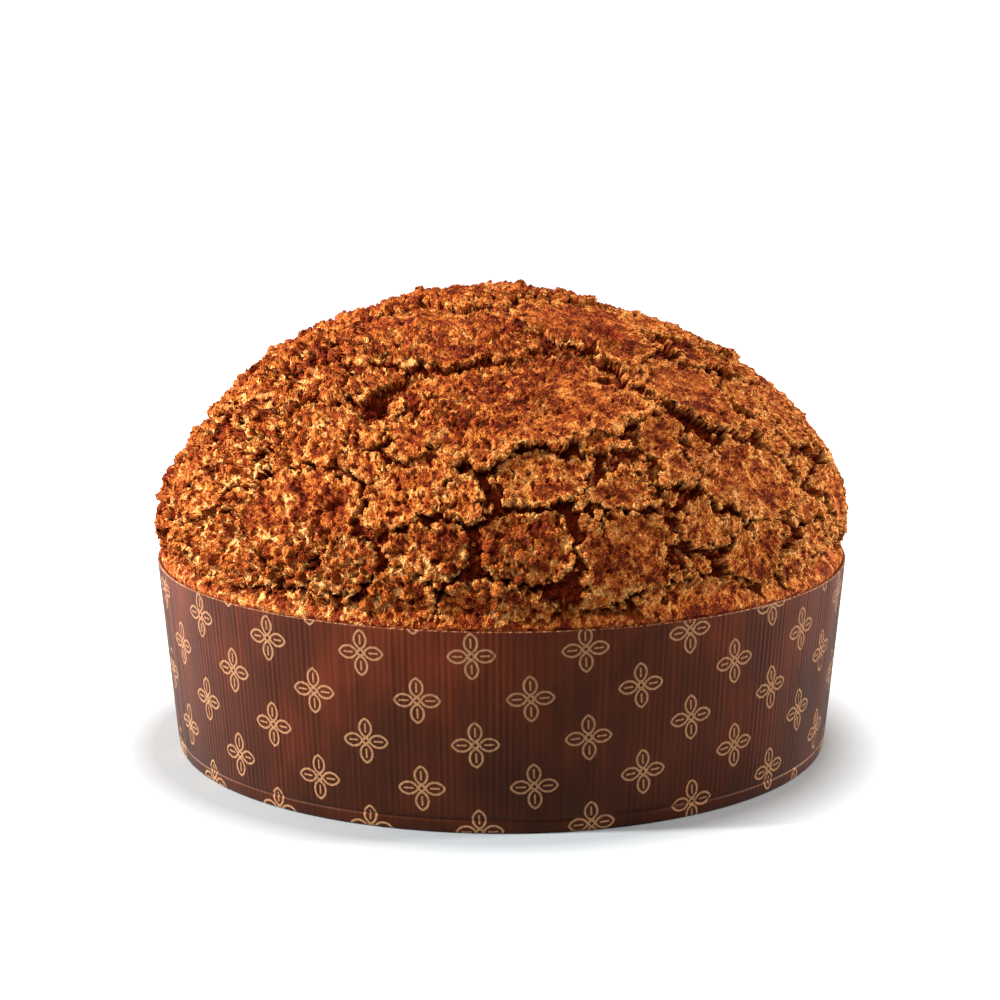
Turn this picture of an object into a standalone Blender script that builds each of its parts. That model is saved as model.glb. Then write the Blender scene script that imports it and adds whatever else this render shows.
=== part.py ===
"""Low Milanese panettone in its paper baking mould: a domed loaf with a cracked nut glaze, a flared
wall of micro-fluted paper with a glued lap at the back, and a paper base dish. Z is up, in metres,
with the origin on the table under the loaf's centre and the loaf's front towards -Y."""

import math

import bpy
from mathutils import Vector, noise

# Driving dimensions
BASE_RADIUS = 0.1050
RIM_RADIUS = 0.1100
MOULD_HEIGHT = 0.0610
PAPER = 0.0008
GAP = 0.0003
TURN_STEPS = 96

# The mould wall: a crease pressed in above the base, a rolled foot and a flange folded under
CREASE_HEIGHT = 0.0042
CREASE_DEPTH = 0.0003
CREASE_HALF = 0.0006
FOOT_RISE = 0.0010
FOOT_INSET = 0.0012
FLANGE_WIDTH = 0.0100

# The lap where the wall's strip is glued to itself
LAP_ANGLE = math.radians(7)
LAP_STEPS = 4
LAP_PROUD = 0.0005
LAP_SUNK = 0.0003

# The base dish, laid on the flange inside the wall
DISH_RIM_HEIGHT = 0.0038

# The loaf's dome
BELLY_RADIUS = 0.1113
BELLY_RISE = 0.0100
SHOULDER_RISE = 0.0015
DOME_RISE = 0.0860
DOME_POWER = 0.54
DOME_RINGS = 27
SIDE_RINGS = 3
BOTTOM_RINGS = 2
EDGE_ROUND = 0.0020

# The cracked glaze
PLATE_SIZE = 0.0340
CRACK_SHARE = 0.30
CRACK_DEPTH = 0.0028
WARP_SIZE = 0.0240
WARP = 0.0040
CALM_BAND = 0.0010
FADE_BAND = 0.0080

MATERIALS = {
    "crust": ((0.42, 0.17, 0.045, 1.0), 0.75),
    "printed_paper": ((0.085, 0.022, 0.012, 1.0), 0.38),
    "kraft_paper": ((0.16, 0.062, 0.028, 1.0), 0.65),
}


def clear_scene():
    for thing in list(bpy.data.objects):
        bpy.data.objects.remove(thing)


def collection(name, hidden=False):
    made = bpy.data.collections.new(name)
    bpy.context.scene.collection.children.link(made)
    made.hide_render = hidden
    return made


def material(name):
    colour, roughness = MATERIALS[name]
    made = bpy.data.materials.new(name)
    made.use_nodes = True
    shader = made.node_tree.nodes["Principled BSDF"]
    shader.inputs["Base Color"].default_value = colour
    shader.inputs["Roughness"].default_value = roughness
    shader.inputs["Metallic"].default_value = 0.0
    return made


def profile_object(name, points, closed, home):
    """A profile of (radius, height) points in the XZ plane, as a mesh of edges."""
    mesh = bpy.data.meshes.new(name)
    edges = [(i, i + 1) for i in range(len(points) - 1)]
    if closed:
        edges.append((len(points) - 1, 0))
    mesh.from_pydata([(radius, 0, height) for radius, height in points], edges, [])
    made = bpy.data.objects.new(name, mesh)
    home.objects.link(made)
    return made


def turn(thing, angle=2 * math.pi, steps=TURN_STEPS):
    """Turns a profile about Z with a Screw modifier."""
    screw = thing.modifiers.new("turn", "SCREW")
    screw.angle = angle
    screw.steps = screw.render_steps = steps
    screw.use_merge_vertices = True
    screw.merge_threshold = 1e-5


def to_mesh(thing, home):
    """The same object with its modifiers made into its mesh."""
    graph = bpy.context.evaluated_depsgraph_get()
    mesh = bpy.data.meshes.new_from_object(thing.evaluated_get(graph))
    name = thing.name
    bpy.data.objects.remove(thing)
    mesh.name = name
    made = bpy.data.objects.new(name, mesh)
    home.objects.link(made)
    return made


def finish(thing, material_name, sharp_degrees=35):
    """Gives a part its material and smooth shading with sharp folds."""
    thing.data.materials.append(material(material_name))
    thing.data.shade_smooth()
    thing.data.set_sharp_from_angle(angle=math.radians(sharp_degrees))


def wall_radius(height):
    """Outside radius of the flared wall at a height above its foot."""
    share = (height - CREASE_HEIGHT) / (MOULD_HEIGHT - CREASE_HEIGHT)
    return BASE_RADIUS + (RIM_RADIUS - BASE_RADIUS) * share


def wall_side():
    """The wall's outer line from the rim down to its foot."""
    above, below = CREASE_HEIGHT + CREASE_HALF, CREASE_HEIGHT - CREASE_HALF
    return [
        (RIM_RADIUS, MOULD_HEIGHT),
        (wall_radius(above), above),
        (wall_radius(CREASE_HEIGHT) - CREASE_DEPTH, CREASE_HEIGHT),
        (wall_radius(below), below),
        (BASE_RADIUS - FOOT_INSET / 3, FOOT_RISE),
    ]


def mould_wall(home, cutters):
    """The printed strip of fluted paper, rolled into a flared ring and folded under the base."""
    outer = wall_side()
    foot = BASE_RADIUS - FOOT_INSET
    flange = BASE_RADIUS - FLANGE_WIDTH
    underside = [(foot, 0), (flange, 0), (flange, PAPER), (foot - PAPER / 2, PAPER)]
    inner = [(radius - PAPER, height) for radius, height in reversed(outer)]
    inner[0] = (inner[0][0], FOOT_RISE + PAPER / 2)
    wall = profile_object("mould_wall", outer + underside + inner, True, home)
    turn(wall)

    low, high = CREASE_HEIGHT + 2 * CREASE_HALF, MOULD_HEIGHT - LAP_SUNK
    line = [(wall_radius(high), high), (wall_radius(low), low)]
    lap = profile_object("wall_lap_guide", line, False, cutters)
    turn(lap, LAP_ANGLE, LAP_STEPS)
    thick = lap.modifiers.new("thickness", "SOLIDIFY")
    thick.thickness = LAP_PROUD + LAP_SUNK
    thick.offset = 2 * LAP_PROUD / thick.thickness - 1
    lap.rotation_euler.z = math.pi / 2 - LAP_ANGLE / 2
    lap.hide_render = True
    lap.display_type = "WIRE"

    join = wall.modifiers.new("lap", "BOOLEAN")
    join.operation = "UNION"
    join.solver = "EXACT"
    join.object = lap
    wall = to_mesh(wall, home)
    finish(wall, "printed_paper")
    return wall


def base_dish(home):
    """The paper disc of the base, with its edge turned up inside the wall."""
    low = PAPER + GAP
    top = low + PAPER
    foot = BASE_RADIUS - FOOT_INSET / 3 - PAPER - 2 * GAP
    points = [
        (0, top),
        (foot - PAPER, top),
        (foot - PAPER, DISH_RIM_HEIGHT),
        (foot, DISH_RIM_HEIGHT),
        (foot, low + PAPER / 2),
        (foot - PAPER, low),
        (0, low),
    ]
    dish = profile_object("base_dish", points, False, home)
    turn(dish)
    dish = to_mesh(dish, home)
    finish(dish, "kraft_paper")
    return dish


def dome_line():
    """The loaf's outer line from its crown down to its belly."""
    belly = MOULD_HEIGHT + BELLY_RISE
    rise = DOME_RISE - BELLY_RISE
    points = []
    for ring in range(DOME_RINGS + 1):
        turned = math.pi / 2 * (1 - ring / DOME_RINGS)
        radius = BELLY_RADIUS * (1 - math.sin(turned) ** 2) ** DOME_POWER
        points.append((radius, belly + rise * math.sin(turned)))
    points[0] = (0, points[0][1])
    return points


def loaf_side():
    """The loaf's line inside the mould, from the rim down to its bottom edge."""
    inside = PAPER + GAP
    rim = (RIM_RADIUS - inside, MOULD_HEIGHT)
    shoulder = (RIM_RADIUS - inside / 3, MOULD_HEIGHT + SHOULDER_RISE)
    step = DISH_RIM_HEIGHT + GAP + EDGE_ROUND
    points = [shoulder, rim]
    for ring in range(1, SIDE_RINGS + 1):
        height = MOULD_HEIGHT + (step - MOULD_HEIGHT) * ring / SIDE_RINGS
        points.append((wall_radius(height) - inside, height))
    floor = 2 * (PAPER + GAP)
    edge = BASE_RADIUS - FOOT_INSET / 3 - 2 * PAPER - 3 * GAP
    points.append((edge, DISH_RIM_HEIGHT - GAP))
    points.append((edge, floor + EDGE_ROUND / 2))
    points.append((edge - EDGE_ROUND / 2, floor))
    for ring in range(1, BOTTOM_RINGS + 1):
        points.append(((edge - EDGE_ROUND) * (1 - ring / BOTTOM_RINGS), floor))
    return points


def smooth_step(share):
    share = min(max(share, 0.0), 1.0)
    return share * share * (3 - 2 * share)


def crack_depth(point):
    """How deep the cracks between the glaze's plates go at a point of the dome."""
    warped = point + WARP * noise.noise_vector(point / WARP_SIZE)
    distances, _ = noise.voronoi(warped / PLATE_SIZE)
    crack = 1 - smooth_step((distances[1] - distances[0]) / CRACK_SHARE)
    above_belly = point.z - MOULD_HEIGHT - BELLY_RISE - CALM_BAND
    return CRACK_DEPTH * crack * smooth_step(above_belly / FADE_BAND)


def loaf(home):
    """The baked loaf and the glaze that is baked onto it, in one piece."""
    body = profile_object("loaf", dome_line() + loaf_side(), False, home)
    turn(body)
    body = to_mesh(body, home)
    normals = [Vector(vertex.normal) for vertex in body.data.vertices]
    for vertex, normal in zip(body.data.vertices, normals):
        vertex.co -= normal * crack_depth(vertex.co)
    finish(body, "crust", sharp_degrees=60)
    return body


def main():
    clear_scene()
    home = collection("panettone")
    cutters = collection("guides", hidden=True)
    mould_wall(home, cutters)
    base_dish(home)
    loaf(home)


main()
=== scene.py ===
"""The looks of a low panettone in its printed paper mould: a domed loaf under a cracked glaze with
toasted nut crumbs, a wall of micro-fluted paper and a paper base dish. Everything is in metres, in the
frame of the CAD model, with Z up and the front towards -Y."""

import math
from concurrent.futures import ThreadPoolExecutor

import bpy
import numpy as np
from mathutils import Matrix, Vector


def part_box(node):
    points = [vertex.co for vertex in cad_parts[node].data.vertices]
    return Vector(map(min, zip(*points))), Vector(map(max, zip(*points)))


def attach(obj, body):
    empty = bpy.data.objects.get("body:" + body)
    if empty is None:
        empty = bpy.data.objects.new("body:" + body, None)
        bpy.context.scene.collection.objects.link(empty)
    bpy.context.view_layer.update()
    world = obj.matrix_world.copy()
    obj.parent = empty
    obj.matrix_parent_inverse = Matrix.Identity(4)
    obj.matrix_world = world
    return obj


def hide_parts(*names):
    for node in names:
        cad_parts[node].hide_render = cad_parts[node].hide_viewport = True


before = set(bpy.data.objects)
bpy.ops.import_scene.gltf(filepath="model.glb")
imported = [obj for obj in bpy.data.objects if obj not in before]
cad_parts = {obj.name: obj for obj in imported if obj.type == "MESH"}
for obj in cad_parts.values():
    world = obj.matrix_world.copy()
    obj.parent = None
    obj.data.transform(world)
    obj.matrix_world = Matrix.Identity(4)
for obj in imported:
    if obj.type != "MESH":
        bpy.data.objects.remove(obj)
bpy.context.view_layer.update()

MM = 0.001

# Places read from the frame
LOAF_LOW, LOAF_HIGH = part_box("loaf")
WALL_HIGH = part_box("mould_wall")[1]
RIM_HEIGHT = WALL_HIGH.z
RIM_RADIUS = WALL_HIGH.x
BELLY_RADIUS = LOAF_HIGH.x
CROWN = LOAF_HIGH.z

# The mould, as in the CAD model
BASE_RADIUS = 105.0 * MM
CREASE_HEIGHT = 4.2 * MM
CREASE_DEPTH = 0.3 * MM
FOOT_RISE = 1.0 * MM
FOOT_INSET = 1.2 * MM
FLANGE_WIDTH = 10.0 * MM
PAPER = 0.8 * MM
GAP = 0.3 * MM
LAP_ANGLE = math.radians(7)
LAP_PROUD = 0.5 * MM
DISH_RIM_HEIGHT = 3.8 * MM

# The dome's line, as in the CAD model
BELLY_RISE = 10.0 * MM
SHOULDER_RISE = 1.5 * MM
DOME_POWER = 0.54
SIDE_DEPTH = 5.0 * MM

# The crust's grid, and how many of its edge points meet one point of the hidden side
GRID = 801
COARSER = 8
EVENING_ROUNDS = 16


# ---------------------------------------------------------------- noise

BATCH = 20000
WORKERS = 4


def in_batches(work, points):
    """Does work on the points a batch at a time, several batches at once."""
    batches = np.array_split(points, len(points) // BATCH + 1)
    with ThreadPoolExecutor(WORKERS) as pool:
        return np.concatenate(list(pool.map(work, batches)), axis=-1)


class Lattice:
    """Repeatable noise on a lattice of unit cells."""

    def __init__(self, seed):
        draw = np.random.default_rng(seed)
        self.order = draw.permutation(256).astype(np.int32)
        slopes = draw.normal(size=(3, 256))
        self.slopes = (slopes / np.linalg.norm(slopes, axis=0)).astype(np.float32)
        self.values = draw.random((6, 256)).astype(np.float32)

    def corners(self, cells):
        """The eight cells around each point, with a number from 0 to 255 for each."""
        for i in (0, 1):
            first = self.order[(cells[0] + i) & 255]
            for j in (0, 1):
                second = self.order[(first + cells[1] + j) & 255]
                for k in (0, 1):
                    yield i, j, k, self.order[(second + cells[2] + k) & 255]

    def smooth_batch(self, points):
        """Gradient noise for one batch of points."""
        floors = np.floor(points.T)
        x, y, z = (points.T - floors).astype(np.float32)
        fades = [t * t * t * (t * (t * 6 - 15) + 10) for t in (x, y, z)]
        total = np.zeros(len(points), np.float32)
        for i, j, k, name in self.corners(floors.astype(np.int32)):
            share = 1.0
            for step, fade in zip((i, j, k), fades):
                share = share * (fade if step else 1 - fade)
            slope = self.slopes[:, name]
            total += share * ((x - i) * slope[0] + (y - j) * slope[1] + (z - k) * slope[2])
        return total * 1.7

    def smooth(self, points):
        """Gradient noise, from about -1 to 1."""
        return in_batches(self.smooth_batch, points)

    def layered(self, points, octaves, fading=0.5):
        """Gradient noise with finer and fainter layers added."""
        total, weight, scale, share = np.zeros(len(points)), 0.0, 1.0, 1.0
        for octave in range(octaves):
            total += self.smooth(points * scale + 17.3 * octave) * share
            weight += share
            scale *= 2
            share *= fading
        return total / weight

    def vectors(self, points, octaves):
        """Three layered noises, as a vector for each point."""
        return np.stack([self.layered(points + 31.7 * k, octaves) for k in range(3)], axis=1)

    def chips_batch(self, points, cover):
        """A chip is a ball at a random place in its cell, cut off by a slanted plane."""
        floors = np.round(points.T) - 1
        cells = floors.astype(np.int32)
        height, value = np.zeros((2, len(points)), np.float32)
        for i, j, k, name in self.corners(cells):
            own = self.values[:, name]
            axes = zip(floors, (i, j, k), own, points.T)
            x, y, z = [f + step + 0.2 + 0.6 * o - p for f, step, o, p in axes]
            reach = 0.34 + 0.36 * own[3]
            share = 1 - (x * x + y * y + z * z) / reach**2
            slant = 0.75 + 0.9 * ((own[4] - 0.5) * x + (own[5] - 0.5) * y) / reach
            found = reach * np.minimum(np.sqrt(np.clip(share, 0, None)), slant)
            found = np.where(own[4] < cover, found, 0)
            better = found > height
            height = np.where(better, found, height)
            value = np.where(better, own[5], value)
        return np.stack([height, value])

    def chips(self, points, cover):
        """Chips with slanted tops, at most one to a cell: height in cells, and a value of its own."""
        return in_batches(lambda batch: self.chips_batch(batch, cover), points)


def smooth_step(value, low, high):
    share = np.clip((value - low) / (high - low), 0, 1)
    return share * share * (3 - 2 * share)


# ---------------------------------------------------------------- meshes


def mesh_piece(name, points, face_groups, places=None):
    """An object from points, arrays of faces, and for each array its corners' places on the map."""
    mesh = bpy.data.meshes.new(name)
    corners = np.concatenate([faces.ravel() for faces in face_groups])
    counts = np.concatenate([np.full(len(faces), faces.shape[1]) for faces in face_groups])
    starts = np.concatenate([[0], np.cumsum(counts)[:-1]])
    mesh.vertices.add(len(points))
    mesh.vertices.foreach_set("co", points.astype(np.float32).ravel())
    mesh.loops.add(len(corners))
    mesh.loops.foreach_set("vertex_index", corners.astype(np.int32))
    mesh.polygons.add(len(counts))
    mesh.polygons.foreach_set("loop_start", starts.astype(np.int32))
    mesh.polygons.foreach_set("use_smooth", np.ones(len(counts), bool))
    mesh.update(calc_edges=True)
    if places is not None:
        layer = mesh.uv_layers.new(name="OFBake")
        flat = np.concatenate([place.reshape(-1, 2) for place in places])
        layer.uv.foreach_set("vector", flat.astype(np.float32).ravel())
    mesh.validate()
    piece = bpy.data.objects.new(name, mesh)
    bpy.context.scene.collection.objects.link(piece)
    return piece


def add_mask(piece, name, values):
    attribute = piece.data.attributes.new(name, "FLOAT", "POINT")
    attribute.data.foreach_set("value", values.astype(np.float32))


def grid_faces(number):
    """The four-cornered faces between neighbours in a grid of point numbers."""
    a, b = number[:-1, :-1], number[1:, :-1]
    c, d = number[1:, 1:], number[:-1, 1:]
    return np.stack([a, b, c, d], axis=-1).reshape(-1, 4)


# ---------------------------------------------------------------- the dome's grid


def wall_radius(height):
    """Outside radius of the flared wall at a height above its foot."""
    share = (height - CREASE_HEIGHT) / (RIM_HEIGHT - CREASE_HEIGHT)
    return BASE_RADIUS + (RIM_RADIUS - BASE_RADIUS) * share


def dome_line():
    """(radius, height) along the loaf's outline, from its crown to just inside the mould."""
    belly = RIM_HEIGHT + BELLY_RISE
    turned = np.linspace(math.pi / 2, 0, 400)
    radius = BELLY_RADIUS * np.cos(turned) ** (2 * DOME_POWER)
    height = belly + (CROWN - belly) * np.sin(turned)
    inside = PAPER + GAP
    low = RIM_HEIGHT - SIDE_DEPTH
    radius = np.append(radius, [RIM_RADIUS - inside / 3, RIM_RADIUS - inside, wall_radius(low) - inside])
    height = np.append(height, [RIM_HEIGHT + SHOULDER_RISE, RIM_HEIGHT, low])
    return radius, height


DOME_RADII, DOME_HEIGHTS = dome_line()
DOME_STEPS = np.hypot(np.diff(DOME_RADII), np.diff(DOME_HEIGHTS))
DOME_WAYS = np.concatenate([[0], np.cumsum(DOME_STEPS)])
DOME_LENGTH = float(DOME_WAYS[-1])


def square_disc(across, along):
    """The share of a disc's radius and the direction at places of a square from -1 to 1 each way."""
    wide = np.abs(across) > np.abs(along)
    first = np.where(wide, across, along)
    second = np.where(wide, along, across)
    turn = math.pi / 4 * np.divide(second, first, out=np.zeros_like(first), where=first != 0)
    turn = np.where(wide, turn, math.pi / 2 - turn)
    share = np.abs(first).ravel()
    east = (np.sign(first) * np.cos(turn)).ravel()
    north = (np.sign(first) * np.sin(turn)).ravel()
    return share, east, north


def on_dome(way, east, north):
    """Points and outward normals of the smooth dome, at a way down from the crown."""
    nudge = 1.5 * MM
    ahead, behind = way + nudge, way - nudge
    around = np.interp(way, DOME_WAYS, DOME_RADII)
    up = np.interp(way, DOME_WAYS, DOME_HEIGHTS)
    back = np.sign(behind) * np.interp(np.abs(behind), DOME_WAYS, DOME_RADII)
    run = np.interp(ahead, DOME_WAYS, DOME_RADII) - back
    fall = np.interp(ahead, DOME_WAYS, DOME_HEIGHTS)
    fall = fall - np.interp(np.abs(behind), DOME_WAYS, DOME_HEIGHTS)
    size = np.hypot(run, fall)
    points = np.stack([around * east, around * north, up], axis=1)
    normals = np.stack([-fall / size * east, -fall / size * north, run / size], axis=1)
    return points, normals


def blurred(field, reach):
    """A grid field, averaged over a square of points."""
    span = 2 * reach + 1
    for axis in (0, 1):
        margin = [(reach + 1, reach) if a == axis else (0, 0) for a in (0, 1)]
        total = np.cumsum(np.pad(field, margin, mode="edge"), axis=axis)
        count = total.shape[axis]
        high = np.take(total, range(span, count), axis=axis)
        low = np.take(total, range(count - span), axis=axis)
        field = (high - low) / span
    return field


def between(field, across, along):
    """A field on the grid, read between the grid's points."""
    i = np.minimum(across.astype(np.int32), GRID - 2)
    j = np.minimum(along.astype(np.int32), GRID - 2)
    a, b = (across - i)[..., None], (along - j)[..., None]
    near = field[i, j] * (1 - b) + field[i, j + 1] * b
    far = field[i + 1, j] * (1 - b) + field[i + 1, j + 1] * b
    return near * (1 - a) + far * a


def even_out(points):
    """The grid's numbering, stretched so that neighbours lie more evenly on a surface with steps."""
    points = points.reshape(GRID, GRID, 3)
    across, along = [a.astype(float) for a in np.indices((GRID, GRID))]
    inner = slice(1, -1)
    for _ in range(EVENING_ROUNDS):
        now = between(points, across, along)
        length = np.linalg.norm(np.diff(now, axis=0), axis=2)
        step = np.diff(across, axis=0)
        total = length[1:] + length[:-1]
        move = 0.5 * (length[1:] * step[1:] - length[:-1] * step[:-1]) / total
        across[inner, inner] += move[:, inner]
        length = np.linalg.norm(np.diff(now, axis=1), axis=2)
        step = np.diff(along, axis=1)
        total = length[:, 1:] + length[:, :-1]
        move = 0.5 * (length[:, 1:] * step[:, 1:] - length[:, :-1] * step[:, :-1]) / total
        along[inner, inner] += move[inner]
    return across / (GRID - 1) * 2 - 1, along / (GRID - 1) * 2 - 1


def grid_steps(points):
    return np.gradient(points.reshape(GRID, GRID, 3), axis=(0, 1))


def grid_normals(points):
    """Outward normals of a grid of points."""
    first, second = grid_steps(points)
    normals = np.cross(first, second)
    normals /= np.linalg.norm(normals, axis=2, keepdims=True) + 1e-15
    return normals.reshape(-1, 3)


def uphill(field, points):
    """The way along the surface in which a field on the grid rises, about a unit long."""
    rise = np.gradient(blurred(field.reshape(GRID, GRID), 2))
    step = grid_steps(points)
    e = (step[0] ** 2).sum(axis=2)
    f = (step[0] * step[1]).sum(axis=2)
    g = (step[1] ** 2).sum(axis=2)
    area = e * g - f * f + 1e-18
    first = (g * rise[0] - f * rise[1]) / area
    second = (e * rise[1] - f * rise[0]) / area
    slope = first[..., None] * step[0] + second[..., None] * step[1]
    slope /= np.linalg.norm(slope, axis=2, keepdims=True) + 0.15
    return slope.reshape(-1, 3)


# ---------------------------------------------------------------- the glaze's plates

# The front's plates: azimuth in degrees from the front, way down from the crown in mm, half width and
# half length in mm, turn in degrees, lift of the lower edge in mm, and moat in mm
FRONT_PLATES = [
    (4, 134, 13.5, 11.5, 0, 0.4, 3.2),
    (-12, 134, 12.0, 8.0, 6, 0.2, 2.0),
    (-14, 149, 8.0, 7.0, 0, 0.2, 1.2),
    (-2, 152, 15.0, 9.0, 0, 0.3, 1.2),
    (20, 136, 15.0, 13.0, 0, 0.3, 1.6),
    (-5, 117, 7.5, 6.5, 0, 0.5, 1.6),
    (-15, 118, 12.5, 8.5, -30, 0.4, 1.4),
    (8, 112, 16.0, 7.0, -4, 0.6, 1.4),
    (19, 117, 15.0, 7.0, 8, 0.3, 1.0),
    (30, 99, 9.5, 6.5, 0, 0.6, 1.8),
    (6, 78, 39.0, 19.0, -7, 2.2, 2.6),
    (-28, 44, 34.0, 20.0, 12, 1.4, 2.0),
    (45, 36, 24.0, 16.0, -10, 0.8, 1.6),
    (-36, 100, 17.0, 10.0, -22, 0.5, 1.6),
    (-34, 130, 16.0, 13.0, -12, 0.2, 1.0),
    (48, 120, 15.0, 12.0, 10, 0.4, 1.2),
    (45, 82, 20.0, 11.0, 12, 0.9, 1.6),
]
OTHER_PLATES = 1500
SMALL_PLATE, LARGE_PLATE = 4.0 * MM, 14.0 * MM
PLATE_ROOM = 0.86

# How far the plates' outlines wander, and over what length: broadly, and finely
PLATE_WARP, WARP_LENGTH = 5.5 * MM, 13 * MM
FINE_WARP, FINE_LENGTH = 1.6 * MM, 3.4 * MM

# How far the round plate at the front keeps its outline calm, and how square the plates' outlines are
ROUND_REACH = 18 * MM
OUTLINE_POWER = 2.4
FAR_OUT = 9.0

# The narrowest crack, and what gives a plate's top its shape
CRACK_WIDTH = 1.2 * MM
LEVEL_STEP = 0.7 * MM
ROLLING = 0.9 * MM
LIP = 0.6 * MM


def plate_at(azimuth, way, width, length, turn, lift, moat):
    """A plate's place, axes and sizes on the dome."""
    turned = math.radians(azimuth)
    east, north = np.array([math.sin(turned)]), np.array([-math.cos(turned)])
    point, normal = on_dome(np.array([way]), east, north)
    side = np.array([math.cos(turned), math.sin(turned), 0])
    down = np.cross(side, normal[0])
    c, s = math.cos(turn), math.sin(turn)
    return {
        "point": point[0],
        "across": c * side + s * down,
        "along": c * down - s * side,
        "normal": normal[0],
        "width": width,
        "length": length,
        "size": math.sqrt(width * length),
        "lift": lift,
        "moat": moat,
    }


def make_plates():
    plates = [
        plate_at(az, way * MM, w * MM, l * MM, math.radians(turn), lift * MM, moat * MM)
        for az, way, w, l, turn, lift, moat in FRONT_PLATES
    ]
    draw = np.random.default_rng(11)
    for _ in range(OTHER_PLATES):
        way = DOME_LENGTH * math.sqrt(draw.random())
        size = draw.uniform(SMALL_PLATE, LARGE_PLATE)
        stretch = draw.uniform(1.0, 2.0)
        plate = plate_at(
            draw.uniform(0, 360),
            way,
            size * stretch,
            size / stretch,
            draw.normal(0, 0.3),
            draw.uniform(0, 1.0) * MM,
            draw.uniform(0.4, 2.4) * MM,
        )
        apart = [np.linalg.norm(plate["point"] - p["point"]) - PLATE_ROOM * p["size"] for p in plates]
        if min(apart) > PLATE_ROOM * plate["size"]:
            plates.append(plate)
    return plates


def nearest_plates(points, plates):
    """How far out a point is in its nearest plate and in the next one, 1 being a plate's edge, both
    plates' sizes, and the nearest one's lift, moat and number."""
    first, second = np.full((2, len(points)), FAR_OUT)
    first_size, second_size = np.full((2, len(points)), SMALL_PLATE)
    lift, moat, number = np.zeros((3, len(points)))
    for index, plate in enumerate(plates):
        away = points - plate["point"]
        reach = 3.5 * max(plate["width"], plate["length"])
        near = np.flatnonzero((away**2).sum(axis=1) < reach**2)
        off = away[near]
        x = off @ plate["across"] / plate["width"]
        y = off @ plate["along"] / plate["length"]
        z = off @ plate["normal"] / plate["size"]
        power = OUTLINE_POWER
        far = (np.abs(x) ** power + np.abs(y) ** power + 0.3 * np.abs(z) ** power) ** (1 / power)
        closer = far < first[near]
        pushed = np.where(closer, first[near], far)
        pushed_size = np.where(closer, first_size[near], plate["size"])
        nearer = pushed < second[near]
        second[near] = np.where(nearer, pushed, second[near])
        second_size[near] = np.where(nearer, pushed_size, second_size[near])
        took = near[closer]
        first[took] = far[closer]
        first_size[took] = plate["size"]
        lift[took] = plate["lift"] * y[closer]
        moat[took] = plate["moat"]
        number[took] = index
    return first, second, first_size, second_size, lift, moat, number


def plate_field(points, noise):
    """Distance inside the nearest plate's edge, that plate's lift and number, and how near the round
    plate at the front is."""
    plates = make_plates()
    near_round = np.exp(-((points - plates[0]["point"]) ** 2).sum(axis=1) / ROUND_REACH**2)
    warp = PLATE_WARP * noise.vectors(points / WARP_LENGTH, 2)
    warp += FINE_WARP * noise.vectors(points / FINE_LENGTH + 50, 2)
    warped = points + warp * (1 - 0.85 * near_round)[:, None]
    first, second, first_size, second_size, lift, moat, number = nearest_plates(warped, plates)
    midway = (second - first) / (1 / first_size + 1 / second_size)
    spread = np.maximum(1.2 + 2.6 * noise.layered(points / (12 * MM) + 7, 2), 1.5 * near_round)
    width = CRACK_WIDTH + moat * spread
    inside = np.minimum((1.6 - first) * first_size, midway - width / 2)
    rough = (4.0 - 1.8 * smooth_step(points[:, 2], 108 * MM, 128 * MM)) * MM
    ragged = rough * noise.layered(points / FINE_LENGTH + 3, 3, 0.6)
    return inside + ragged * (1 - 0.6 * near_round), lift, number, near_round


# ---------------------------------------------------------------- the crust

# Where the dome is fuller or flatter than the CAD model's: centre in mm, reach and rise in mm
SWELLS = [
    ((-88, 5, 106), 20, -3.6),
    ((-52, 10, 132), 14, 0.5),
    ((-112, 0, 86), 22, -2.0),
    ((104, 0, 92), 26, 1.6),
    ((66, 0, 130), 34, -0.8),
    ((32, 25, 143), 20, -2.0),
    ((-30, 0, 145), 30, -0.8),
]

# Burnt pits in the glaze, in the same form
PITS = [
    ((-37, -73, 121), 4.5, -5.5),
    ((33, -35, 139), 4.5, -4.5),
    ((-29, -12, 143), 3.0, -3.0),
    ((-49, -93, 95), 3.0, -3.0),
]

# How far the dome is sunk below the CAD model's, to make room for what stands up from it
SINK = 3.4 * MM

# The cells that hold the crumbs, at most one to each
COARSE_CRUMB, MIDDLE_CRUMB, SMALL_CRUMB = 3.1 * MM, 1.9 * MM, 1.15 * MM


def bumps(points, places):
    """The height of round bumps, each with its centre, reach and rise."""
    total = np.zeros(len(points))
    for centre, reach, rise in places:
        away = ((points - np.array(centre) * MM) ** 2).sum(axis=1)
        total += rise * MM * np.exp(-away / (reach * MM) ** 2)
    return total


def plate_relief(points, noise):
    """Height of the plates and the cracks between them, the distance inside a plate, and its lift."""
    inside, lift, number, near_round = plate_field(points, noise)
    plate = smooth_step(inside, -0.5 * MM, 0.5 * MM)
    depth = (2.5 + 1.6 * noise.smooth(points / (16 * MM) + 40) + 0.8 * near_round) * MM
    rolling = ROLLING * noise.layered(points / (7 * MM) + 77, 3)
    level = LEVEL_STEP * np.sin(number * 12.9898)
    rubble = (2.0 - 0.8 * near_round) * MM * noise.layered(points / (2.8 * MM) + 15, 3)
    lip = LIP * (1 - smooth_step(inside, 0.8 * MM, 3.0 * MM))
    height = plate * (lift + level + rolling + lip) - (depth + rubble) * (1 - plate)
    height += bumps(points + 2.0 * MM * noise.vectors(points / (3 * MM) + 9, 2), PITS)
    return height, inside, lift


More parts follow.
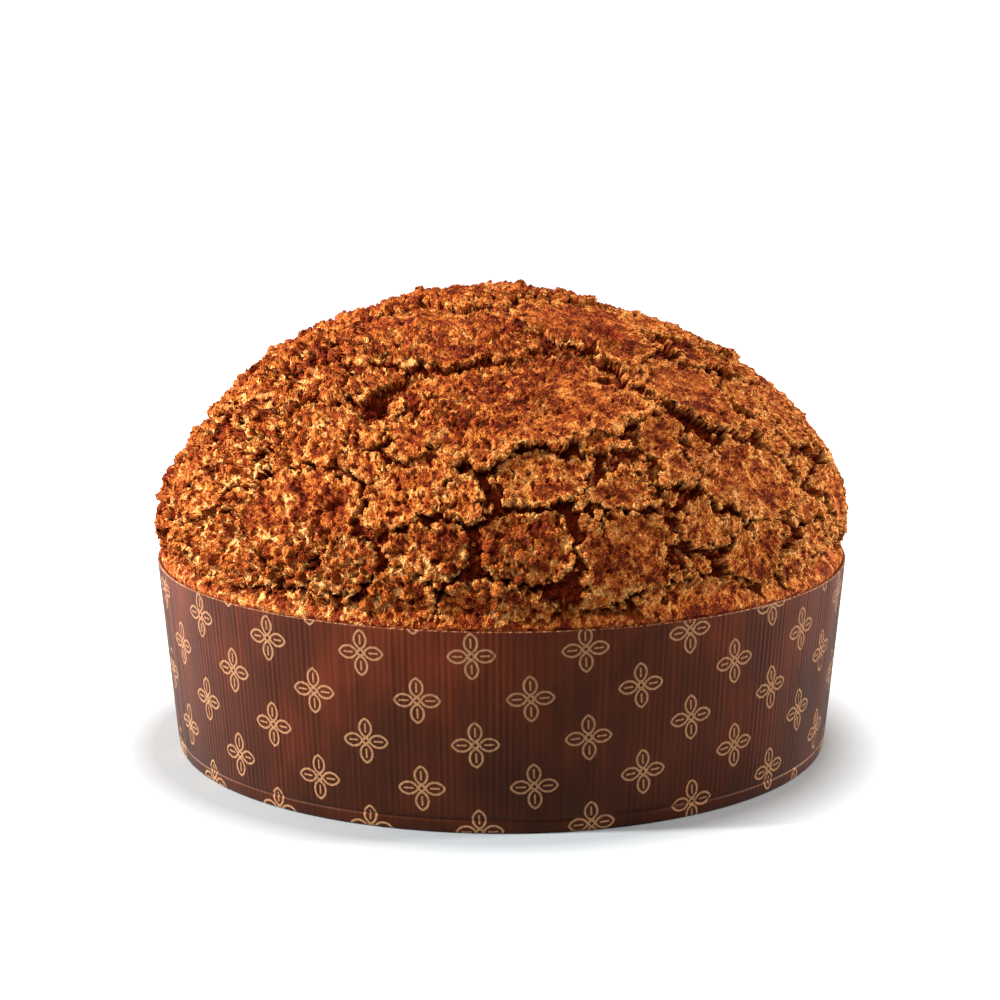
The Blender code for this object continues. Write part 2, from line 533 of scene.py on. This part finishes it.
def crumb_relief(points, crumbly):
    """Height of the crumbs and grains on the plates, how high a crumb stands, and its own value."""
    noise, grit, fine = Lattice(21), Lattice(5), Lattice(8)
    shifted = points + 0.45 * MM * fine.vectors(points / (1.2 * MM), 2)
    coarse, coarse_value = grit.chips(shifted / COARSE_CRUMB, 0.42) * [[COARSE_CRUMB], [1]]
    middle, middle_value = fine.chips(shifted / MIDDLE_CRUMB + 50, 0.45) * [[MIDDLE_CRUMB], [1]]
    small, small_value = noise.chips(shifted / SMALL_CRUMB + 90, 0.6) * [[SMALL_CRUMB], [1]]
    coarse = coarse * smooth_step(crumbly, 0.1, 0.5)
    middle = middle * smooth_step(crumbly, -0.45, 0.1)
    crumb = np.maximum(np.maximum(coarse, middle), small)
    own = np.where(coarse > middle, coarse_value, middle_value)
    own = np.where(small >= crumb, small_value, own)
    grain = fine.layered(points / (0.9 * MM) + 60, 2, 0.8)
    hollows = np.clip(grit.layered(points / (2.4 * MM) + 24, 2) - 0.2 + 0.14 * crumbly, 0, None)
    bulk = 0.9 + 0.8 * smooth_step(crumbly, -0.2, 0.4)
    height = bulk * crumb + 0.4 * MM * grain - 5.5 * MM * hollows
    return height, crumb + 0.3 * small, own


def cracked_dome(across, along, noise):
    """Points of the dome with its plates and cracks, without crumbs, and what shaped them."""
    share, east, north = square_disc(across, along)
    smooth_points, normals = on_dome(share * DOME_LENGTH, east, north)
    free = smooth_step(smooth_points[:, 2], RIM_HEIGHT + 0.3 * MM, RIM_HEIGHT + 5 * MM)
    height, inside, lift = plate_relief(smooth_points, noise)
    lean = smooth_step(inside, -0.4 * MM, 0.3 * MM) * (1 - smooth_step(inside, 0.4 * MM, 3.0 * MM))
    overhang = 0.6 * MM + 0.5 * np.clip(lift, 0, None)
    sideways = -uphill(inside, smooth_points) * (overhang * lean)[:, None]
    broad = 1.3 * MM * noise.layered(smooth_points / (42 * MM) + 5, 2)
    broad = broad + bumps(smooth_points, SWELLS) - SINK
    points = smooth_points + (normals * (height + broad)[:, None] + sideways) * free[:, None]
    steep = (free * (1 - smooth_step(inside, 0.6 * MM, 2.0 * MM)))[:, None]
    points = points + 1.3 * MM * steep * noise.vectors(points / (1.8 * MM) + 63, 2)
    return points, smooth_points, normals, free, height, inside, lift


def make_crust_grid():
    """The crust's points above the mould, their map places, and the masks that colour them."""
    noise = Lattice(3)
    side = np.linspace(-1, 1, GRID)
    across, along = np.meshgrid(side, side, indexing="ij")
    place = np.stack([across.ravel(), along.ravel()], axis=1) / 2 + 0.5
    across, along = even_out(cracked_dome(across, along, noise)[0])
    points, smooth_points, normals, free, height, inside, lift = cracked_dome(across, along, noise)

    outward = 0.65 * grid_normals(points) + 0.35 * normals
    crumbly = 1.3 * noise.layered(smooth_points / (30 * MM) + 11, 2)
    high = smooth_step(smooth_points[:, 2], 108 * MM, 132 * MM)
    crumbly += 0.4 * high - (smooth_points[:, 0] + 25 * MM) / (90 * MM)
    grains, crumb, own = crumb_relief(points, crumbly)
    points = points + outward * (grains * (0.2 + 0.8 * free))[:, None] * free[:, None] ** 0.5

    total = (height + grains).reshape(GRID, GRID)
    pits = (blurred(total, 3) - total).ravel()
    flanks = (blurred(total, 9) - total).ravel()
    ragged = inside + 1.2 * MM * noise.layered(points / (2.4 * MM) + 88, 2)
    centre = smooth_step(ragged, 1.0 * MM, 3.2 * MM)
    patch = noise.layered(points / (5 * MM) + 20, 3, 0.6)
    stands = smooth_step(crumb, 0.2 * MM, 0.5 * MM)
    bare = smooth_step(crumbly, 0.0, 0.6)
    dusted = (0.9 - 0.5 * bare) * (1 - 0.4 * high)
    toast = 0.16 - 0.16 * bare + centre * (0.3 * (1 - bare) + dusted * patch)
    toast += stands * (0.24 + 0.42 * own) * (1 + 0.4 * bare) + 0.16 * (1 - free) + 0.05 * high
    # Painted shade: the crust is darkened in the fine hollows and on the low flanks below the plates, by
    # how far each point lies below its neighbours
    flank_shade = 0.8 * smooth_step(flanks, 0.5 * MM, 2.0 * MM)
    masks = {
        "toast": toast,
        "deep": free * (1 - smooth_step(height - lift, -2.2 * MM, -0.6 * MM)),
        "cavity_shade": np.maximum(smooth_step(pits, 0, 0.6 * MM), flank_shade),
    }
    return points, place, masks


# The loaf's map: the fine crust in a square, and its hidden side and bottom in a disc off the corner
CRUST_SHARE = 0.86
HIDDEN_MIDDLE, HIDDEN_REACH, SEAM_REACH = 0.93, 0.06, 0.065
HIDDEN_TOAST = 0.4
HIDDEN_HEIGHTS = (40 * MM, 20 * MM, 6 * MM)
BOTTOM_SHARES = (0.8, 0.5, 0.2)
EDGE_CUT = 1.0 * MM


def loaf_side():
    """(radius, height) of the loaf's hidden line inside the mould, down to its bottom."""
    inside = PAPER + GAP
    edge = BASE_RADIUS - FOOT_INSET / 3 - 2 * PAPER - 3 * GAP
    floor = LOAF_LOW.z
    line = [(wall_radius(height) - inside, height) for height in HIDDEN_HEIGHTS]
    line += [(edge, DISH_RIM_HEIGHT - GAP), (edge, floor + EDGE_CUT), (edge - EDGE_CUT, floor)]
    line += [(edge * share, floor) for share in BOTTOM_SHARES]
    return line


def grid_border():
    """Numbers of the grid's border points, in order round it."""
    number = np.arange(GRID * GRID).reshape(GRID, GRID)
    sides = [number[:-1, 0], number[-1, :-1], number[:0:-1, -1], number[0, :0:-1]]
    return np.concatenate(sides)


def seam_faces(border, ring, count):
    """The triangles between the crust's fine border and the first of the coarser hidden rings."""
    fine = np.append(border, border[0])
    seam = []
    for step in range(COARSER):
        low = ring[:-1] if step < COARSER // 2 else ring[1:]
        first, second = fine[step:-1:COARSER][:count], fine[step + 1::COARSER][:count]
        seam.append(np.column_stack([first, low, second]))
    middle = fine[COARSER // 2::COARSER][:count]
    seam.append(np.column_stack([middle, ring[:-1], ring[1:]]))
    return np.concatenate(seam)


def make_loaf():
    """The whole loaf: the fine crust, and the plain side and bottom that the mould hides."""
    points, place, masks = make_crust_grid()
    border = grid_border()
    count = len(border) // COARSER
    start = points[border[::COARSER]]
    facing = start[:, :2] / np.linalg.norm(start[:, :2], axis=1)[:, None]
    side = loaf_side()
    rings = [np.column_stack([facing * radius, np.full(count, height)]) for radius, height in side]
    hidden = np.concatenate(rings + [np.array([[0, 0, LOAF_LOW.z]])])
    ring = len(points) + np.arange(count * len(rings)).reshape(len(rings), count)
    centre = len(points) + len(hidden) - 1

    closed = np.concatenate([ring, ring[:, :1]], axis=1)
    walls = grid_faces(closed)
    tip = np.column_stack([closed[-1, 1:], closed[-1, :-1], np.full(count, centre)])
    seam = seam_faces(border, closed[0], count)
    grid = grid_faces(np.arange(GRID * GRID).reshape(GRID, GRID))

    rows = np.repeat(np.arange(len(rings)), count)
    spread = HIDDEN_REACH * (1 - rows / len(rings))
    hidden_place = HIDDEN_MIDDLE + spread[:, None] * np.tile(facing, (len(rings), 1))
    hidden_place = np.concatenate([hidden_place, [[HIDDEN_MIDDLE, HIDDEN_MIDDLE]]])
    all_places = np.concatenate([CRUST_SHARE * place, hidden_place])
    places = [all_places[faces] for faces in (grid, walls, tip)]
    places.append(seam_places(seam, all_places, len(points)))
    every_point = np.concatenate([points, hidden])
    loaf = mesh_piece("loaf_crust", every_point, [grid, walls, tip, seam], places)
    for name, values in masks.items():
        unseen = HIDDEN_TOAST if name == "toast" else 0
        add_mask(loaf, name, np.concatenate([values, np.full(len(hidden), unseen)]))
    return loaf


def seam_places(faces, all_places, fine_count):
    """Map places for the seam's faces: their points on the fine border go just outside the side's."""
    places = all_places[faces]
    outer = faces < fine_count
    way = places[outer] - CRUST_SHARE / 2
    way /= np.linalg.norm(way, axis=1)[:, None]
    places[outer] = HIDDEN_MIDDLE + SEAM_REACH * way
    return places


# ---------------------------------------------------------------- the mould's wall

# The flutes round the wall, the mesh's columns to each, and how far they go in and out
FLUTES = 358
FLUTE_STEPS = 6
FLUTE_DEPTH = 0.075 * MM
WALL_ROWS = 19
CREASE_REACH = 0.8 * MM
WALL_BEND = 0.25 * MM
RIM_RIPPLE = 0.12 * MM
LAP_RISE = LAP_PROUD - 0.1 * MM

# The wall's map: its outside in quarter turns, one above the other, and the rest in a thin strip
MAP_STRIPS = 4
STRIP_PITCH, STRIP_HEIGHT = 0.225, 0.22
REST_START, REST_HEIGHT = 0.905, 0.09
MAP_MARGIN = 0.002


def wall_section():
    """(radius, height, share of the flutes' relief) round the wall's section, from the rim's outside
    down, along the folded flange and up the inside."""
    top = [RIM_HEIGHT, RIM_HEIGHT - 0.35 * MM, RIM_HEIGHT - 0.7 * MM]
    heights = [*top, *np.linspace(59 * MM, 6 * MM, WALL_ROWS)]
    outer = [(wall_radius(height), height, 1.0) for height in heights]
    for step in np.linspace(-1, 1, 7):
        height = CREASE_HEIGHT - step * CREASE_REACH
        groove = 1.3 * CREASE_DEPTH * 0.5 * (1 + math.cos(math.pi * step))
        outer.append((wall_radius(height) - groove, height, 0.5))
    start = BASE_RADIUS - FOOT_INSET / 3
    for turn in np.linspace(0, math.pi / 2, 6):
        radius = start - (FOOT_INSET - FOOT_INSET / 3) * (1 - math.cos(turn))
        outer.append((radius, FOOT_RISE * (1 - math.sin(turn)), 0.3 * math.cos(turn)))
    foot = BASE_RADIUS - FOOT_INSET
    under = [(foot - share * (FLANGE_WIDTH - FOOT_INSET), 0, 0) for share in (0.3, 0.7, 1.0)]
    flange = BASE_RADIUS - FLANGE_WIDTH
    inner = [(flange, PAPER, 0), (foot - PAPER / 2, PAPER, 0)]
    inner += [(wall_radius(height) - PAPER, height, 0) for height in (2 * MM, 20 * MM, 40 * MM)]
    inner += [(wall_radius(height) - PAPER, height, 0) for height in (RIM_HEIGHT - 0.5 * MM, RIM_HEIGHT)]
    return np.array(outer + under + inner), len(outer)


def make_wall():
    """The printed wall: its section turned round the loaf, with flutes, soft bends and the lap."""
    section, outer = wall_section()
    columns = FLUTES * FLUTE_STEPS
    turn = np.arange(columns) / columns * 2 * math.pi
    # The count starts at the lap's left edge, behind the loaf
    angle = math.pi / 2 - LAP_ANGLE / 2 + turn
    east, north = np.cos(angle), np.sin(angle)
    radius, height, share = [np.repeat(part[:, None], columns, axis=1) for part in section.T]
    around = [np.broadcast_to(way, radius.shape) for way in (east, north)]
    flat = np.stack([*around, height / RIM_RADIUS], axis=-1).reshape(-1, 3)
    paper = Lattice(30)
    bend = paper.layered(flat * [3.2, 3.2, 0.7], 2).reshape(radius.shape)
    uneven = paper.smooth(flat * [26, 26, 0.6] + 9).reshape(radius.shape)
    flute = np.cos(turn * FLUTES)[None, :] * (0.6 + 0.9 * uneven)
    crown = smooth_step(height, 3 * MM, 20 * MM) * (1 - smooth_step(height, 56 * MM, RIM_HEIGHT))
    radius = radius + share * (FLUTE_DEPTH * flute + WALL_BEND * bend * crown)
    lapped = (turn < LAP_ANGLE)[None, :] & (share == 1.0)
    radius = radius + np.where(lapped, LAP_RISE, 0)
    ripple = RIM_RIPPLE * paper.layered(flat * 9 + 40, 2).reshape(radius.shape)
    height = height + np.where(height > RIM_HEIGHT - 0.1 * MM, ripple, 0)
    points = np.stack([radius * east, radius * north, height], axis=-1).reshape(-1, 3)

    rows = len(section)
    number = np.arange(rows * columns).reshape(rows, columns)
    closed = np.concatenate([number, number[:1]], axis=0)
    closed = np.concatenate([closed, closed[:, :1]], axis=1)
    places = wall_map(section, outer, columns)
    wall = mesh_piece("mould_paper_wall", points, [grid_faces(closed)], [places])
    cut = np.zeros((rows, columns))
    cut[0] = cut[-1] = 1
    add_mask(wall, "cut", cut.ravel())
    side = np.zeros((rows, columns))
    side[:outer] = 1
    add_mask(wall, "outside", side.ravel())
    return wall


def wall_map(section, outer, columns):
    """Map places of the wall's corners: its outside in quarter-turn strips, the rest in a thin one."""
    rows = len(section)
    steps = np.hypot(*np.diff(section[:, :2], axis=0).T)
    way = np.concatenate([[0], np.cumsum(steps), [steps.sum() + PAPER]])
    edge, whole = way[outer - 1], way[-1]
    quarter = columns // MAP_STRIPS
    column = np.arange(columns)
    strip = column // quarter
    left = (column % quarter) / quarter
    right = left + 1 / quarter
    places = np.zeros((rows, columns, 4, 2))
    for row in range(rows):
        if row < outer - 1:
            low, high = [STRIP_HEIGHT * way[r] / edge for r in (row, row + 1)]
            base = strip * STRIP_PITCH
        else:
            low, high = [REST_HEIGHT * (way[r] - edge) / (whole - edge) for r in (row, row + 1)]
            base = np.full(columns, REST_START)
            left = column / columns
            right = left + 1 / columns
        corners = [(left, low), (left, high), (right, high), (right, low)]
        for corner, (across, along) in enumerate(corners):
            places[row, :, corner, 0] = MAP_MARGIN + (1 - 2 * MAP_MARGIN) * across
            places[row, :, corner, 1] = base + along
    return places.reshape(-1, 4, 2)


# ---------------------------------------------------------------- shader arithmetic


class Term:
    """A number worked out by a shader's nodes, so that shader arithmetic reads as arithmetic."""

    def __init__(self, tree, socket):
        self.tree = tree
        self.socket = socket

    def math(self, operation, *others, clamp=False):
        node = self.tree.nodes.new("ShaderNodeMath")
        node.operation = operation
        node.use_clamp = clamp
        for slot, value in zip(node.inputs, (self, *others)):
            feed(slot, value)
        return Term(self.tree, node.outputs[0])

    def __add__(self, other):
        return self.math("ADD", other)

    def __sub__(self, other):
        return self.math("SUBTRACT", other)

    def __mul__(self, other):
        return self.math("MULTIPLY", other)

    def __truediv__(self, other):
        return self.math("DIVIDE", other)

    def __abs__(self):
        return self.math("ABSOLUTE")

    def low(self, other):
        return self.math("MINIMUM", other)

    def high(self, other):
        return self.math("MAXIMUM", other)

    def over(self, other):
        return self.math("GREATER_THAN", other)

    def length(self, other):
        return (self * self + other * other).math("SQRT")

    def band(self, half, soft):
        """1 where this distance is under half, falling to 0 over a soft width."""
        return (self * (-1 / soft) + (half / soft + 0.5)).math("ADD", 0.0, clamp=True)


def feed(slot, value):
    """Sets a node's input to a number, a colour or another node's output."""
    if isinstance(value, Term):
        value.tree.links.new(value.socket, slot)
    else:
        slot.default_value = value


def choose(pick, one, other):
    """One number where pick is 1, the other where it is 0."""
    return other + pick * (one - other)


def new_material(name):
    made = bpy.data.materials.new(name)
    made.use_nodes = True
    return made, made.node_tree, made.node_tree.nodes["Principled BSDF"]


def linear(value):
    value /= 255
    return value / 12.92 if value <= 0.04045 else ((value + 0.055) / 1.055) ** 2.4


def colour(red, green, blue):
    """A colour from screen values of 0 to 255."""
    return (linear(red), linear(green), linear(blue), 1.0)


def ramp(factor, stops):
    node = factor.tree.nodes.new("ShaderNodeValToRGB")
    feed(node.inputs[0], factor)
    while len(node.color_ramp.elements) < len(stops):
        node.color_ramp.elements.new(0.5)
    for element, (place, shade) in zip(node.color_ramp.elements, stops):
        element.position = place
        element.color = shade
    return Term(factor.tree, node.outputs[0])


def mixed(factor, first, second, mode="MIX"):
    """Colours mixed by a factor."""
    node = factor.tree.nodes.new("ShaderNodeMix")
    node.data_type = "RGBA"
    node.blend_type = mode
    feed(node.inputs["Factor"], factor)
    feed(node.inputs[6], first)
    feed(node.inputs[7], second)
    return Term(factor.tree, node.outputs[2])


def mask(tree, name):
    node = tree.nodes.new("ShaderNodeAttribute")
    node.attribute_name = name
    return Term(tree, node.outputs["Fac"])


def position(tree):
    """The point's X, Y and Z in the object's frame, in mm."""
    where = tree.nodes.new("ShaderNodeTexCoord")
    split = tree.nodes.new("ShaderNodeSeparateXYZ")
    tree.links.new(where.outputs["Object"], split.inputs[0])
    return [Term(tree, split.outputs[k]) * 1000 for k in range(3)]


def joined(x, y, z):
    node = x.tree.nodes.new("ShaderNodeCombineXYZ")
    for slot, value in zip(node.inputs, (x, y, z)):
        feed(slot, value)
    return Term(x.tree, node.outputs[0])


def noise_at(place, detail=2.0, roughness=0.5):
    """Noise from about 0 to 1 at a place whose unit is the noise's own size."""
    node = place.tree.nodes.new("ShaderNodeTexNoise")
    feed(node.inputs["Vector"], place)
    node.inputs["Scale"].default_value = 1.0
    node.inputs["Detail"].default_value = detail
    node.inputs["Roughness"].default_value = roughness
    return Term(place.tree, node.outputs["Fac"])


def scaled(x, y, z, size):
    return joined(x / size, y / size, z / size)


def bumped(shader, height, distance, strength):
    """Feeds a shader a bump from a height of 0 to 1."""
    node = height.tree.nodes.new("ShaderNodeBump")
    node.inputs["Distance"].default_value = distance
    node.inputs["Strength"].default_value = strength
    feed(node.inputs["Height"], height)
    height.tree.links.new(node.outputs[0], shader.inputs["Normal"])


# ---------------------------------------------------------------- materials


def crust_material():
    made, tree, shader = new_material("toasted_crust")
    x, y, z = position(tree)
    speckle = noise_at(scaled(x, y, z, 0.55), 1, 0.8)
    toast = mask(tree, "toast") + (speckle - 0.5) * 1.2
    crumbs = ramp(toast, [
        (0.0, colour(255, 201, 126)),
        (0.24, colour(226, 140, 62)),
        (0.48, colour(190, 100, 36)),
        (0.72, colour(148, 60, 15)),
        (1.0, colour(94, 25, 4)),
    ])
    # Painted shade: a dark red is mixed into the crumbs' colour in the hollows and on the low flanks
    shaded_crumbs = mixed(mask(tree, "cavity_shade") * 0.85, crumbs, colour(118, 28, 4))
    floor = ramp(speckle, [(0.3, colour(90, 16, 3)), (0.7, colour(156, 54, 15))])
    deep = mixed(mask(tree, "deep"), shaded_crumbs, floor)
    feed(shader.inputs["Base Color"], deep)
    shader.inputs["Roughness"].default_value = 0.75
    shader.inputs["Specular IOR Level"].default_value = 0.12
    bumped(shader, noise_at(scaled(x, y, z, 0.62), 1, 0.7), 1.3 * MM, 1.0)
    return made


# The print on the mould: a lattice of plain flowers on the flat sheet, all in mm
PRINT_PITCH = (32.4, 26.7)
PRINT_START = (-8.6, 49.7)
PRINT_TILT = math.radians(2.5)
PETAL_MIDDLE = 3.9
PETAL_LENGTH = 2.8
PETAL_WIDTH = 1.85
VEIN_LENGTH = 1.5
RING_RADIUS = 0.85
LINE = 0.32
VEIN_LINE = 0.8 * LINE
SOFT = 0.16


def sheet_place(x, y, z):
    """A point's place on the mould's strip as it lay flat, a sector of a ring, in mm."""
    flare = math.atan2(RIM_RADIUS - BASE_RADIUS, RIM_HEIGHT - CREASE_HEIGHT)
    lean = math.sin(flare)
    # The seam of the angle is turned to the lap's left edge, behind the loaf
    c, s = math.cos(LAP_ANGLE / 2), math.sin(LAP_ANGLE / 2)
    turned = (x * c + y * s).math("ARCTAN2", (y * -c) + x * s) + LAP_ANGLE / 2
    radius = z * math.tan(flare) + (wall_radius(0) * 1000)
    ray = radius / lean
    angle = turned * lean
    across = ray * angle.math("SINE")
    along = ray * angle.math("COSINE") - BASE_RADIUS * 1000 / lean
    return across, along


def nearest_motif(across, along):
    """The way from the nearest flower's centre on the print's staggered lattice."""
    c, s = math.cos(PRINT_TILT), math.sin(PRINT_TILT)
    u, v = across - PRINT_START[0], along - PRINT_START[1]
    u, v = u * c + v * s, v * c - u * s
    wide, tall = PRINT_PITCH

    def cell(offset):
        p = (u / wide + (0.5 + offset)).math("FRACT") * wide - wide / 2
        q = (v / tall + (0.5 + offset)).math("FRACT") * tall - tall / 2
        return p, q

    (p1, q1), (p2, q2) = cell(0.0), cell(0.5)
    second = (p1 * p1 + q1 * q1).over(p2 * p2 + q2 * q2)
    return choose(second, p2, p1), choose(second, q2, q1)


def flower(p, q):
    """How much ink a flower puts at a way from its centre: four pointed petals drawn in outline round
    a ring, each with a vein."""
    a, b = abs(p), abs(q)
    along, across = a.high(b), a.low(b)
    bend = (PETAL_LENGTH**2 + PETAL_WIDTH**2) / (2 * PETAL_WIDTH)
    petal = (across + (bend - PETAL_WIDTH)).length(along - PETAL_MIDDLE) - bend
    ink = abs(petal).band(LINE, SOFT)
    ring = p.length(q) - RING_RADIUS
    ink = ink.high(abs(ring).band(LINE, SOFT))
    vein = across.high(abs(along - PETAL_MIDDLE) - (VEIN_LENGTH - LINE))
    return ink.high(vein.band(VEIN_LINE, SOFT))


def paper_material():
    made, tree, shader = new_material("printed_paper")
    x, y, z = position(tree)
    across, along = sheet_place(x, y, z)
    streaks = noise_at(joined(across / 1.6, along / 70, 0.0), 3, 0.75)
    blotches = noise_at(joined(across / 22, along / 30, 5.0), 2, 0.5)
    # Lighter higher up and darker lower down: painted light and shade, for the light the upper wall
    # catches and the lower wall misses
    height_shade = (along - 30) / 300
    ground = ramp(streaks * 0.45 + blotches * 0.55 + height_shade, [
        (0.3, colour(42, 15, 7)),
        (0.5, colour(66, 25, 12)),
        (0.7, colour(98, 39, 20)),
    ])
    p, q = nearest_motif(across, along)
    worn = noise_at(scaled(across, along, 0.0, 0.45), 2, 0.7)
    ink = flower(p, q) * mask(tree, "outside") * (worn * 2.4 - 0.5).math("ADD", 0.0, clamp=True)
    printed = mixed(ink, ground, colour(184, 141, 102))
    dashes = noise_at(joined(across / 1.4, 0.0, 0.0), 2, 0.6)
    edge = mask(tree, "cut") * (dashes * 4 - 1.8).math("ADD", 0.0, clamp=True)
    feed(shader.inputs["Base Color"], mixed(edge, printed, colour(205, 150, 112)))
    feed(shader.inputs["Roughness"], streaks * 0.2 + 0.34)
    shader.inputs["Specular IOR Level"].default_value = 0.25
    shader.inputs["Specular Tint"].default_value = (1.0, 0.56, 0.34, 1)
    shader.inputs["Coat Weight"].default_value = 0.06
    shader.inputs["Coat Roughness"].default_value = 0.22
    ripples = noise_at(joined(across / 7, along / 1.1, 0.0), 2, 0.5)
    bumped(shader, streaks * 0.5 + ripples * 0.3, 0.12 * MM, 0.5)
    return made


def kraft_material():
    made, tree, shader = new_material("kraft_paper")
    x, y, z = position(tree)
    fibres = noise_at(joined(x / 0.5, y / 3.0, z), 4, 0.7)
    clouds = noise_at(scaled(x, y, z, 14), 3, 0.5)
    shade = ramp(fibres * 0.6 + clouds * 0.4, [
        (0.3, colour(92, 52, 32)),
        (0.7, colour(138, 86, 54)),
    ])
    feed(shader.inputs["Base Color"], shade)
    feed(shader.inputs["Roughness"], fibres * 0.2 + 0.6)
    shader.inputs["Specular IOR Level"].default_value = 0.3
    bumped(shader, fibres, 0.08 * MM, 0.6)
    return made


# ---------------------------------------------------------------- stage

# Where the lights point
AIM = np.array([0, 0, 70 * MM])
CAMERA_PLACE = (-0.0005, -0.7738, 0.2323)
CAMERA_DOWN = math.radians(11.38)
LENS = 88.3
FLOOR_SIZE = 60

# The floor's glow: its middle in mm, and how far out it begins and is full. Inside that, the dimmer
# floor is a painted soft shadow round the mould
GLOW_MIDDLE = (-4, -5)
NEAR_FLOOR, FAR_FLOOR = 0.108, 0.141

SOFT_WHITE = (1, 0.94, 0.87)
WARM_WHITE = (1, 0.68, 0.5)

# Name, azimuth from the front and elevation in degrees, distance, size, power, colour
LIGHTS = [
    ("key_left", -74, 30, 0.9, (0.08, 0.16), 17, SOFT_WHITE),
    ("side_right", 88, 26, 0.9, (0.1, 0.2), 7.5, SOFT_WHITE),
    ("top_back", 165, 62, 1.0, (0.4, 0.3), 3.4, SOFT_WHITE),
    ("front_fill", -12, 38, 1.3, (0.5, 0.4), 3.9, SOFT_WHITE),
    ("edge_left", -122, 8, 0.9, (0.7, 0.3), 9, WARM_WHITE),
    ("edge_right", 118, 8, 0.9, (0.5, 0.3), 5, WARM_WHITE),
]


def area_light(name, azimuth, elevation, distance, size, power, tint):
    """A softbox that looks at the loaf from an azimuth, 0 being the front, and an elevation."""
    data = bpy.data.lights.new(name, "AREA")
    data.shape = "RECTANGLE"
    data.size, data.size_y = size
    data.energy = power
    data.color = tint
    light = bpy.data.objects.new(name, data)
    bpy.context.scene.collection.objects.link(light)
    a, e = math.radians(azimuth), math.radians(elevation)
    way = np.array([math.sin(a) * math.cos(e), -math.cos(a) * math.cos(e), math.sin(e)])
    light.location = AIM + way * distance
    light.rotation_mode = "QUATERNION"
    light.rotation_quaternion = Vector(-way).to_track_quat("-Z", "Y")


def make_floor():
    """A pale floor that glows for the camera away from the loaf, so that it fades into the white around.
    Close to the loaf, where the glow has not begun, it paints a soft shadow."""
    corners = np.array([(-1, -1, 0), (1, -1, 0), (1, 1, 0), (-1, 1, 0)]) * FLOOR_SIZE
    floor = mesh_piece("floor", corners, [np.array([[0, 1, 2, 3]])])
    made, tree, shader = new_material("floor")
    x, y, _ = position(tree)
    far = (x - GLOW_MIDDLE[0]).length(y - GLOW_MIDDLE[1]) / 1000
    # Painted shadow: the glow rises from nothing near the mould to full further out, so the floor is
    # darker close to it
    glow = ((far - NEAR_FLOOR) / (FAR_FLOOR - NEAR_FLOOR)).math("ADD", 0.0, clamp=True)
    glow = glow * Term(tree, tree.nodes.new("ShaderNodeLightPath").outputs["Is Camera Ray"])
    shader.inputs["Base Color"].default_value = (0.34, 0.39, 0.44, 1)
    shader.inputs["Roughness"].default_value = 0.9
    shader.inputs["Emission Color"].default_value = (1, 1, 1, 1)
    feed(shader.inputs["Emission Strength"], glow)
    floor.data.materials.append(made)


def make_world():
    """White where the camera sees it, and dimmer as a light, as a studio's far walls are."""
    world = bpy.data.worlds.new("studio")
    world.use_nodes = True
    tree = world.node_tree
    fill = tree.nodes["Background"]
    fill.inputs["Color"].default_value = (1, 0.66, 0.42, 1)
    fill.inputs["Strength"].default_value = 0.14
    white = tree.nodes.new("ShaderNodeBackground")
    white.inputs["Color"].default_value = (1, 1, 1, 1)
    white.inputs["Strength"].default_value = 1.1
    path = tree.nodes.new("ShaderNodeLightPath")
    either = tree.nodes.new("ShaderNodeMixShader")
    tree.links.new(path.outputs["Is Camera Ray"], either.inputs[0])
    tree.links.new(fill.outputs[0], either.inputs[1])
    tree.links.new(white.outputs[0], either.inputs[2])
    tree.links.new(either.outputs[0], tree.nodes["World Output"].inputs[0])
    bpy.context.scene.world = world


def make_camera():
    data = bpy.data.cameras.new("camera")
    data.lens = LENS
    data.sensor_width = 36
    camera = bpy.data.objects.new("camera", data)
    bpy.context.scene.collection.objects.link(camera)
    camera.location = CAMERA_PLACE
    camera.rotation_euler = (math.pi / 2 - CAMERA_DOWN, 0, 0)
    bpy.context.scene.camera = camera


def main():
    make_camera()
    make_world()
    make_floor()
    for light in LIGHTS:
        area_light(*light)
    bpy.context.scene.view_settings.view_transform = "Standard"

    loaf = make_loaf()
    loaf.data.materials.append(crust_material())
    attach(loaf, "root")
    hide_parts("loaf")

    wall = make_wall()
    wall.data.materials.append(paper_material())
    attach(wall, "root")
    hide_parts("mould_wall")

    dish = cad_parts["base_dish"]
    dish.data.materials.clear()
    dish.data.materials.append(kraft_material())


main()
